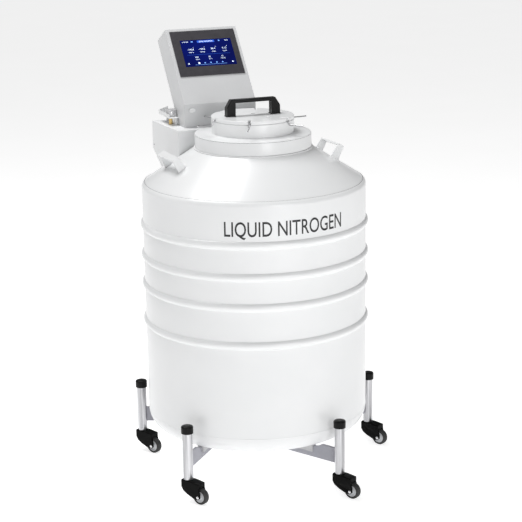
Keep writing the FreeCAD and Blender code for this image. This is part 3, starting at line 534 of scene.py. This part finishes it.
def make_collar():
    """The thick neck collar, with a near-black ring in the joint under its top plate, painted shadow of
    the gap.
    """
    r_in = 111.5 * MM
    r = collar_high.x
    top = collar_high.z
    flat = top - 2 * MM
    low = collar_low.z
    line_z = flat - 3.6 * MM
    plate_z = line_z + 0.7 * MM
    body = soften([
        (r_in, low + 20 * MM, 0),
        (r, low + 2.4 * MM, 0),
        (r, line_z, 0.5 * MM),
        (r_in, line_z, 0),
    ])
    piece = lathe("collar_body", body, "enamel", "vessel", 256, smooth=50)
    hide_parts("neck_collar")
    plate = soften([
        (r_in, plate_z, 0),
        (r - 0.4 * MM, plate_z, 0.3 * MM),
        (r - 0.4 * MM, flat, 1.8 * MM),
        (145 * MM, flat, 6 * MM),
        (126 * MM, top, 3 * MM),
        (r_in, top, 0),
    ])
    lathe("collar_plate", plate, "enamel", "vessel", 256, smooth=50)
    # a near-black ring in the gap: painted shadow of the joint
    gap_r = r - 1.0 * MM
    gap = [(r_in, line_z), (gap_r, line_z), (gap_r, plate_z), (r_in, plate_z)]
    lathe("collar_joint_shadow", gap, "seam", "vessel", 192)


def rod_angle(i):
    """The direction of a canister's rod, about the vessel's axis."""
    return math.radians(ROD_PHASE + 60 * (i - 1))


def notched_disc(name, r_out, z0, z1, mat, body, bevel):
    """A disc whose rim has a radial notch for each canister rod."""
    steps = 24
    lead = math.asin(NOTCH_W / 2 / r_out)
    inner_lead = math.asin(NOTCH_W / 2 / NOTCH_R)
    outline = []
    for i in CANISTERS:
        a0 = rod_angle(i)
        corners = ((r_out, a0 - lead), (NOTCH_R, a0 - inner_lead), (NOTCH_R, a0 + inner_lead))
        outline += [(r * math.cos(a), r * math.sin(a)) for r, a in corners]
        a1 = a0 + math.pi / 3 - lead
        for k in range(steps):
            a = a0 + lead + (a1 - a0 - lead) * k / steps
            outline.append((r_out * math.cos(a), r_out * math.sin(a)))
    return finish_mesh(name, slab(outline, z0, z1), mat, body, 40, bevel, 3)


def make_lid():
    """The cover, its handle, the lock and a small black slot on its top, painted shade of a vent opening.
    """
    z0, z1 = lid_low.z, lid_high.z
    cover = notched_disc("lid_top", LID_R, z0, z1, "enamel", "lid", 1.8 * MM)
    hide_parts("lid_cover")
    handle = refine("lid_handle", "black", 1.6 * MM, 4)
    plug = refine("lid_plug", "foam", 0)
    refine("lid_lock", "sheet", 0.5 * MM, 2)
    # a black patch on the top: painted shade of a vent slot
    slot = rounded_rect(12 * MM, 3.2 * MM, 1.5 * MM)
    place = Matrix.Translation((9 * MM, 21 * MM, z1 - 0.1 * MM))
    prism("vent_slot_shade", slot, 0.5 * MM, "print_and_hole_shade", "lid", place)
    handle_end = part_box("lid_handle")[1].x
    on_lid = Matrix.Translation((0, 0, z1))
    for side in (-1, 1):
        x = side * (handle_end - 13.5 * MM)
        foot = soften([(x - 16 * MM, -14 * MM, 3 * MM), (x + 15 * MM, -14 * MM, 3 * MM),
                       (x + 15 * MM, 14 * MM, 3 * MM), (x - 16 * MM, 14 * MM, 3 * MM)])
        name = f"handle_foot_{(side + 3) // 2}"
        prism(name, foot, 1.4 * MM, "black", "lid", on_lid, 0.4 * MM, 2)


def make_neck():
    """The notched index ring and the rods that hang on it."""
    ring = refine("index_ring", "enamel", 1.0 * MM)
    for i in CANISTERS:
        dress(f"canister_{i}", "steel")
        angle = rod_angle(i)
        outward = Vector((math.cos(angle), math.sin(angle), 0))
        hook_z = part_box(f"canister_{i}")[1].z - ROD_HOOK_DROP
        bead = soften([
            (0, -4 * MM, 0),
            (2.5 * MM, -4 * MM, 0.6 * MM),
            (2.5 * MM, 1.4 * MM, 1.4 * MM),
            (0, 1.4 * MM, 0),
        ], closed=False)
        place = aim(outward * ROD_TIP_R + UP * hook_z, outward)
        cap = lathe(f"rod_tip_{i}", bead, "turned", f"canister_{i}", 24, place, closed=False)


# ---------------------------------------------------------------- lettering
def text_mesh(words, size, bold=0.0):
    """Flat lettering as a mesh, centred on the origin in XY."""
    curve = bpy.data.curves.new("words", "FONT")
    curve.body = words
    curve.size = size
    curve.align_x = "CENTER"
    curve.align_y = "CENTER"
    curve.resolution_u = 4
    curve.offset = bold * size
    obj = bpy.data.objects.new("words", curve)
    bpy.context.scene.collection.objects.link(obj)
    bpy.context.view_layer.update()
    mesh = bpy.data.meshes.new_from_object(obj)
    bpy.data.objects.remove(obj)
    return mesh


def make_lettering():
    """The vessel's contents, printed round its front."""
    bm = bmesh.new()
    bm.from_mesh(text_mesh("LIQUID NITROGEN", WORDS_SIZE, WORDS_BOLD))
    xs = [v.co.x for v in bm.verts]
    middle = (max(xs) + min(xs)) / 2
    length = WORDS_ARC * body_r
    factor = length / (max(xs) - min(xs))
    for v in bm.verts:
        v.co.x = (v.co.x - middle) * factor
        v.co.y = v.co.y * factor * WORDS_TALL
    for k in range(int(length / WORDS_STEP) + 1):
        x = -length / 2 + k * WORDS_STEP
        geom = list(bm.verts) + list(bm.edges) + list(bm.faces)
        bmesh.ops.bisect_plane(bm, geom=geom, plane_co=(x, 0, 0), plane_no=(1, 0, 0))
    r = body_r + WORDS_LIFT
    for v in bm.verts:
        a = WORDS_CENTRE + v.co.x / body_r
        v.co = Vector((r * math.cos(a), r * math.sin(a), WORDS_Z + v.co.y))
    words = finish_mesh("contents_lettering", bm, "print_and_hole_shade", "vessel", 30)


# ---------------------------------------------------------------- rear box and display
panel_up = Vector((0, math.sin(PANEL_TILT), math.cos(PANEL_TILT)))
panel_out = Vector((0, -math.cos(PANEL_TILT), math.sin(PANEL_TILT)))


def panel_matrix(x, v, out):
    """A frame on the tilted face: X to the right, Y up the face and Z out of it."""
    turn = Matrix((Vector((1, 0, 0)), panel_up, panel_out)).transposed().to_4x4()
    place = Vector((x, 0, 0)) + panel_up * v + panel_out * out
    return Matrix.Translation(place) @ turn


def screen_text(name, words, size, x, v, out):
    """A piece of lettering on the display."""
    bm = bmesh.new()
    bm.from_mesh(text_mesh(words, size))
    bm.transform(panel_matrix(x, v, out))
    piece = finish_mesh(name, bm, "text", "vessel", 30)
    return piece


def screen_shape(name, outline, x, v, out, mat):
    """A flat lit symbol on the display."""
    piece = prism(name, outline, SYMBOL_T, mat, "vessel", panel_matrix(x, v, out))
    return piece


def make_screen():
    """What the display shows: a title bar, seven readings and a row of symbols."""
    x0, x1 = extent("display_glass", (1, 0, 0))
    v0, v1 = extent("display_glass", panel_up)
    out = extent("display_glass", panel_out)[1]
    w, h = x1 - x0, v1 - v0
    mid = (x0 + x1) / 2
    base = (v0 + v1) / 2
    image = rounded_rect(w - 0.6 * MM, h - 0.6 * MM, 1 * MM)
    screen_shape("screen_image", image, mid, base, out, "screen")
    top = out + LAYER
    bar = rounded_rect(w * 0.34, h * 0.085, 1.5 * MM)
    screen_shape("title_bar", bar, mid, v1 - h * 0.075, top, "bar")
    screen_text("title_words", "LEVEL MONITOR", h * 0.062, mid, v1 - h * 0.075, top + LAYER)
    screen_text("clock_words", "10:24", h * 0.06, x1 - w * 0.1, v1 - h * 0.07, top)
    screen_text("date_words", "ONLINE", h * 0.055, x0 + w * 0.1, v1 - h * 0.07, top)
    bell = rounded_rect(h * 0.05, h * 0.05, h * 0.02)
    screen_shape("bell_symbol", bell, x1 - w * 0.24, v1 - h * 0.07, top, "text_dim")
    wave = rounded_rect(h * 0.07, h * 0.04, h * 0.015)
    screen_shape("wave_symbol", wave, x0 + w * 0.23, v1 - h * 0.07, top, "text_dim")
    first = (("-195.8", "TEMP A"), ("-194.6", "TEMP B"), ("86.5", "LEVEL"), ("0.12", "FLOW"))
    for i, (value, label) in enumerate(first):
        x = x0 + w * (0.17 + 0.22 * i)
        screen_text(f"reading_{i + 1}", value, h * 0.085, x, v1 - h * 0.36, top)
        screen_text(f"reading_label_{i + 1}", label, h * 0.05, x, v1 - h * 0.47, top)
        unit = "C" if i < 2 else "%"
        screen_text(f"reading_unit_{i + 1}", unit, h * 0.045, x + w * 0.055, v1 - h * 0.29, top)
    second = (("100", "HIGH"), ("55", "LOW"), ("12", "HOURS"))
    for i, (value, label) in enumerate(second):
        x = x0 + w * (0.25 + 0.25 * i)
        screen_text(f"limit_{i + 1}", value, h * 0.075, x, v1 - h * 0.66, top)
        screen_text(f"limit_label_{i + 1}", label, h * 0.05, x + w * 0.01, v1 - h * 0.74, top)
    divider = rounded_rect(w * 0.84, h * 0.006, 0)
    screen_shape("divider", divider, mid, v1 - h * 0.56, top, "bar")
    circle = [(math.cos(math.pi * k / 12), math.sin(math.pi * k / 12)) for k in range(24)]
    for i in range(5):
        size = h * (0.032 if i == 0 else 0.024)
        dot = [(x * size, y * size) for x, y in circle]
        x = x0 + w * (0.27 + 0.115 * i)
        mat = "text" if i == 0 else "text_dim"
        screen_shape(f"menu_dot_{i + 1}", dot, x, v0 + h * 0.12, top, mat)
    menu_line = rounded_rect(w * 0.62, h * 0.008, 0)
    screen_shape("menu_line", menu_line, mid, v0 + h * 0.06, top, "text_dim")
    tip_r = 0.6 * MM
    corner = soften([(-3 * MM, -2.4 * MM, tip_r), (3 * MM, -2.4 * MM, tip_r), (0, 3.2 * MM, tip_r)])
    for i, x in enumerate((x0 + w * 0.07, x1 - w * 0.07)):
        screen_shape(f"corner_key_{i + 1}", corner, x, v0 + h * 0.12, top, "text")


def make_display():
    """The housing, its bezel and its button."""
    # the housing wears the greyed white: painted shade
    refine("display_housing", "shaded_panel", 1.6 * MM)
    refine("housing_back_cover", "sheet", 0.5 * MM)
    refine("display_bezel", "bezel", 0.9 * MM)
    dress("display_glass", "glass")
    refine("mute_button", "sheet", 0.9 * MM)
    x0, x1 = extent("housing_back_cover", (1, 0, 0))
    v0, v1 = extent("housing_back_cover", panel_up)
    back = extent("housing_back_cover", panel_out)[0]
    flip = Matrix.Rotation(math.pi, 4, "Y")
    # black strips on the back cover: painted shade of vent openings
    vent = rounded_rect(70 * MM, 2.6 * MM, 1.25 * MM)
    vent_drop, vent_pitch = 44, 9
    for row in range(9):
        v = v1 - (vent_drop + vent_pitch * row) * MM
        place = panel_matrix((x0 + x1) / 2, v, back) @ flip
        prism(f"back_vent_shade_{row + 1}", vent, 0.15 * MM, "print_and_hole_shade", "vessel", place)
    n = 0
    for x in (x0 + 9 * MM, x1 - 9 * MM):
        for v in (v0 + 12 * MM, (v0 + v1) / 2, v1 - 12 * MM):
            n += 1
            screw(f"back_cover_screw_{n}", panel_matrix(x, v, back) @ flip, 3.2 * MM)


def screw(name, place, radius):
    """A domed screw head with a recess, its underside on the place's XY plane."""
    head = soften([
        (0, 0, 0),
        (radius, 0, 0),
        (radius, radius * 0.35, radius * 0.3),
        (radius * 0.45, radius * 0.6, radius * 0.3),
        (radius * 0.28, radius * 0.35, 0),
        (0, radius * 0.3, 0),
    ], closed=False, steps=4)
    piece = lathe(name, head, "turned", "vessel", 32, place, closed=False)
    return piece


def in_box(x, y, z, direction):
    """A matrix at a place in the turned rear box's own frame, with +Z along a direction in it."""
    return Matrix.Rotation(BOX_TURN, 4, "Z") @ aim((x, y, z), direction)


def make_rear_box():
    """The valve box behind the neck, with its rear cover, screws and inlet."""
    refine("rear_box", "sheet", 1.4 * MM)
    refine("rear_box_cover", "sheet", 0.6 * MM)
    refine("cover_screws", "turned", 0.5 * MM, 2)
    refine("mains_inlet", "black", 0.6 * MM, 2)
    right = Vector((math.cos(BOX_TURN), math.sin(BOX_TURN), 0))
    rear = UP.cross(right)
    half_w = extent("rear_box", right)[1]
    back_y = extent("rear_box", rear)[1]
    screw_y, screw_z = back_y - 14 * MM, 981 * MM
    for side in (-1, 1):
        place = in_box(side * half_w, screw_y, screw_z, (side, 0, 0))
        screw(f"box_side_screw_{(side + 3) // 2}", place, 3.4 * MM)
    x1 = extent("mains_inlet", right)[1]
    y0, y1 = extent("mains_inlet", rear)
    lo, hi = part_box("mains_inlet")
    y, z = (y0 + y1) / 2, (lo.z + hi.z) / 2
    blade = rounded_rect(2.2 * MM, 6 * MM, 0.5 * MM)
    blade_root = x1 - 17 * MM
    for i, (dy, dz) in enumerate(((-7, -1), (0, 2), (7, -1))):
        place = in_box(blade_root, y + dy * MM, z + dz * MM, (1, 0, 0))
        prism(f"inlet_pin_{i + 1}", blade, 13 * MM, "turned", "vessel", place, 0.3 * MM, 2)


def make_fill_line():
    """The relief valve on its folded tray, and the hose fitting on the rear cover."""
    refine("valve_tray", "sheet", 0.5 * MM)
    refine("relief_valve", "cast", 1.0 * MM)
    refine("fill_fitting", "turned", 0.7 * MM)
    right = Vector((math.cos(BOX_TURN), math.sin(BOX_TURN), 0))
    rear = UP.cross(right)
    x0, x1 = extent("fill_fitting", right)
    end = extent("fill_fitting", rear)[1]
    lo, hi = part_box("fill_fitting")
    x, z = (x0 + x1) / 2, (lo.z + hi.z) / 2
    pitch = 1.8 * MM
    turns = 8
    root, crest, bore = 9.3 * MM, 9.9 * MM, 6.2 * MM
    thread = []
    for k in range(turns):
        thread += [(root, k * pitch), (crest, (k + 0.45) * pitch), (crest, (k + 0.55) * pitch)]
    thread += [(root, turns * pitch), (bore, turns * pitch), (bore, 0)]
    place = in_box(x, end - (turns * pitch), z, (0, 1, 0))
    lathe("fill_thread", thread, "turned", "vessel", 64, place)
    lo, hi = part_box("relief_valve")
    seat = aim(((lo.x + hi.x) / 2, lo.y, (lo.z + hi.z) / 2), (0, -1, 0))
    plug = soften([
        (0, -1 * MM, 0),
        (6.5 * MM, -1 * MM, 0),
        (6.5 * MM, 1.2 * MM, 0.6 * MM),
        (3 * MM, 1.6 * MM, 0.6 * MM),
        (2.4 * MM, 0.8 * MM, 0),
        (0, 0.8 * MM, 0),
    ], closed=False, steps=4)
    lathe("relief_plug", plug, "turned", "vessel", 48, seat, closed=False)


def make_handles():
    """The two strap handles."""
    for side in ("left", "right"):
        refine(f"{side}_carry_handle", "enamel", 1.3 * MM, 4)


# ---------------------------------------------------------------- base
def leg_place(i):
    """Where a leg's swivel axis meets the floor."""
    x, y = joints[f"castor_{i}_swivel"]["pos_m"][:2]
    return Vector((x, y, 0))


def make_posts():
    """The five posts with their caps."""
    low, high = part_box("base_posts")
    cap_low, cap_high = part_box("post_caps")
    first = leg_place(1)
    r = high.x - first.x
    cap_r = cap_high.x - first.x
    edge = 0.8 * MM
    post_outline = soften([
        (0, low.z, 0),
        (r, low.z, edge),
        (r, high.z, edge),
        (0, high.z, 0),
    ], closed=False, steps=4)
    for i in LEGS:
        place = Matrix.Translation(leg_place(i))
        post = lathe(f"post_{i}", post_outline, "post", "vessel", 72, place, closed=False)
        outline = soften([
            (r + 0.05 * MM, cap_low.z, 0),
            (cap_r, cap_low.z, 0.8 * MM),
            (cap_r, cap_high.z - 2.5 * MM, 4.5 * MM),
            (cap_r - 9 * MM, cap_high.z, 6 * MM),
            (0, cap_high.z, 0),
        ], closed=False)
        cap = lathe(f"post_cap_{i}", outline, "black", "vessel", 72, place, closed=False, smooth=50)
        if i == LEGS[0]:
            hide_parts("base_posts")
            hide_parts("post_caps")


def make_base():
    """The arms, the hub plate under them and the rubber saddles."""
    refine("base_arms", "arm", 0.8 * MM)
    refine("base_hub", "post", 1.0 * MM)
    refine("saddle_pads", "pad", 1.2 * MM)


def make_castor(i):
    """One castor: hooded fork, wheel hub, tread and axle caps."""
    fork = refine(f"castor_fork_{i}", "castor", 0.9 * MM, 3)
    roll = joints[f"wheel_{i}_roll"]
    centre = Vector(roll["pos_m"])
    axis = Vector(roll["axis"])
    place = aim(centre, axis)
    r = centre.z
    w = 10 * MM
    bead_r = 17 * MM
    tread = soften([
        (bead_r, -w + 1.5 * MM, 0.5 * MM),
        (bead_r + 3 * MM, -w, 1.5 * MM),
        (r - 2.2 * MM, -w + 0.4 * MM, 1.5 * MM),
        (r, -w + 4 * MM, 3 * MM),
        (r, w - 4 * MM, 3 * MM),
        (r - 2.2 * MM, w - 0.4 * MM, 1.5 * MM),
        (bead_r + 3 * MM, w, 1.5 * MM),
        (bead_r, w - 1.5 * MM, 0.5 * MM),
    ], steps=4)
    tyre = lathe(f"tread_{i}", tread, "rubber", f"wheel_{i}", 96, place, smooth=50)
    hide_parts(f"castor_tyre_{i}")
    rim = w - 1.6 * MM
    hub = soften([
        (4.05 * MM, -w + 0.5 * MM, 0),
        (7.5 * MM, -w + 0.5 * MM, 0.8 * MM),
        (8.2 * MM, -rim + 3.2 * MM, 1 * MM),
        (bead_r - 3.2 * MM, -rim + 3.2 * MM, 1 * MM),
        (bead_r - 2.4 * MM, -rim, 0.6 * MM),
        (bead_r, -rim, 0),
        (bead_r, rim, 0),
        (bead_r - 2.4 * MM, rim, 0.6 * MM),
        (bead_r - 3.2 * MM, rim - 3.2 * MM, 1 * MM),
        (8.2 * MM, rim - 3.2 * MM, 1 * MM),
        (7.5 * MM, w - 0.5 * MM, 0.8 * MM),
        (4.05 * MM, w - 0.5 * MM, 0),
    ], steps=3)
    wheel = lathe(f"wheel_hub_{i}", hub, "hub", f"wheel_{i}", 96, place, smooth=40)
    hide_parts(f"castor_wheel_{i}")
    axle_half = 16
    nut = soften([
        (0, -0.5 * MM, 0),
        (4.8 * MM, -0.5 * MM, 0),
        (4.8 * MM, 1.2 * MM, 0.8 * MM),
        (2.2 * MM, 2.0 * MM, 0.6 * MM),
        (0, 1.4 * MM, 0),
    ], closed=False, steps=3)
    for side in (-1, 1):
        end = aim(centre + axis * side * axle_half * MM, axis * side)
        cap = lathe(f"axle_end_{i}_{(side + 3) // 2}", nut, "turned", f"castor_{i}", 32, end, closed=False)


# ---------------------------------------------------------------- hidden pieces
def make_hidden():
    """Materials for the pieces inside the vessel and the boxes."""
    for node, mat in (
        ("inner_vessel", "bare"), ("neck_tube", "composite"), ("insulation_blanket", "foil"),
        ("canister_spider", "bare"), ("level_probe", "steel"), ("controller_board", "board"),
        ("power_supply", "bare"), ("solenoid_valves", "brass"), ("fill_pipe", "brass"),
        ("lid_screws", "turned"),
    ):
        dress(node, mat)
    refine("vacuum_port", "bare", 0.8 * MM)


# ---------------------------------------------------------------- stage, light and camera
def make_stage():
    """A pale floor that stays light under the dewar."""
    bm = bmesh.new()
    bmesh.ops.create_grid(bm, x_segments=1, y_segments=1, size=60)
    mesh = bpy.data.meshes.new("floor")
    bm.to_mesh(mesh)
    bm.free()
    mat, tree, shader = new_material("pale_floor")
    vector = coordinates(tree)
    tone = ramp(tree, noise(tree, vector, 2.0, 3.0), (0.66, 0.66, 0.66), (0.69, 0.69, 0.69))
    tree.links.new(tone, shader.inputs["Base Color"])
    shader.inputs["Roughness"].default_value = 0.9
    shader.inputs["Specular IOR Level"].default_value = 0.0
    shader.inputs["Emission Color"].default_value = (1, 1, 1, 1)
    shader.inputs["Emission Strength"].default_value = 0.72
    mesh.materials.append(mat)
    floor = bpy.data.objects.new("floor", mesh)
    bpy.context.scene.collection.objects.link(floor)


def area_light(name, place, target, size, power):
    """A soft box that faces a target."""
    data = bpy.data.lights.new(name, "AREA")
    data.shape = "RECTANGLE"
    data.size, data.size_y = size
    data.energy = power
    obj = bpy.data.objects.new(name, data)
    obj.location = place
    obj.rotation_mode = "QUATERNION"
    obj.rotation_quaternion = (Vector(target) - Vector(place)).to_track_quat("-Z", "Y")
    bpy.context.scene.collection.objects.link(obj)


def make_light():
    """Soft studio light: an even white room, a key in front and a large light overhead."""
    world = bpy.data.worlds.new("studio")
    world.use_nodes = True
    background = world.node_tree.nodes["Background"]
    background.inputs["Color"].default_value = (1, 1, 1, 1)
    background.inputs["Strength"].default_value = 0.22
    bpy.context.scene.world = world
    middle = (0, 0, 0.65)
    area_light("key_light", (0.6, -4.6, 1.5), middle, (1.8, 2.2), 57)
    area_light("front_light", (-0.8, -3.6, 2.6), (0, 0.1, 1.05), (1.8, 1.8), 10)
    area_light("top_light", (-1.0, 0.9, 4.6), middle, (2.0, 2.0), 134)


def make_camera():
    """The camera: left of the front, looking down on the dewar."""
    azimuth = math.radians(20)
    distance, height = 4.6921, 1.8876
    yaw, pitch, roll = -0.0039, 0.2576, -0.0160
    level = math.cos(pitch)
    forward = Vector((-math.sin(yaw) * level, math.cos(yaw) * level, -math.sin(pitch)))
    right = Vector((math.cos(yaw), math.sin(yaw), 0))
    up = right.cross(forward)
    side = math.cos(roll) * right + math.sin(roll) * up
    top = -math.sin(roll) * right + math.cos(roll) * up
    turn = Matrix.Rotation(-azimuth, 4, "Z")
    pose = Matrix((side, top, -forward)).transposed().to_4x4()
    data = bpy.data.cameras.new("camera")
    data.sensor_width = 36
    data.lens = 108.5
    data.clip_end = 200
    camera = bpy.data.objects.new("camera", data)
    camera.matrix_world = turn @ Matrix.Translation((0, -distance, height)) @ pose
    bpy.context.scene.collection.objects.link(camera)
    bpy.context.scene.camera = camera


make_camera()
make_shell()
make_dome()
make_head()
make_collar()
make_neck()
make_lid()
make_lettering()
make_handles()
make_rear_box()
make_fill_line()
make_display()
make_screen()
make_posts()
make_base()
for leg in LEGS:
    make_castor(leg)
make_hidden()
make_stage()
make_light()
bpy.context.scene.view_settings.view_transform = "Standard"
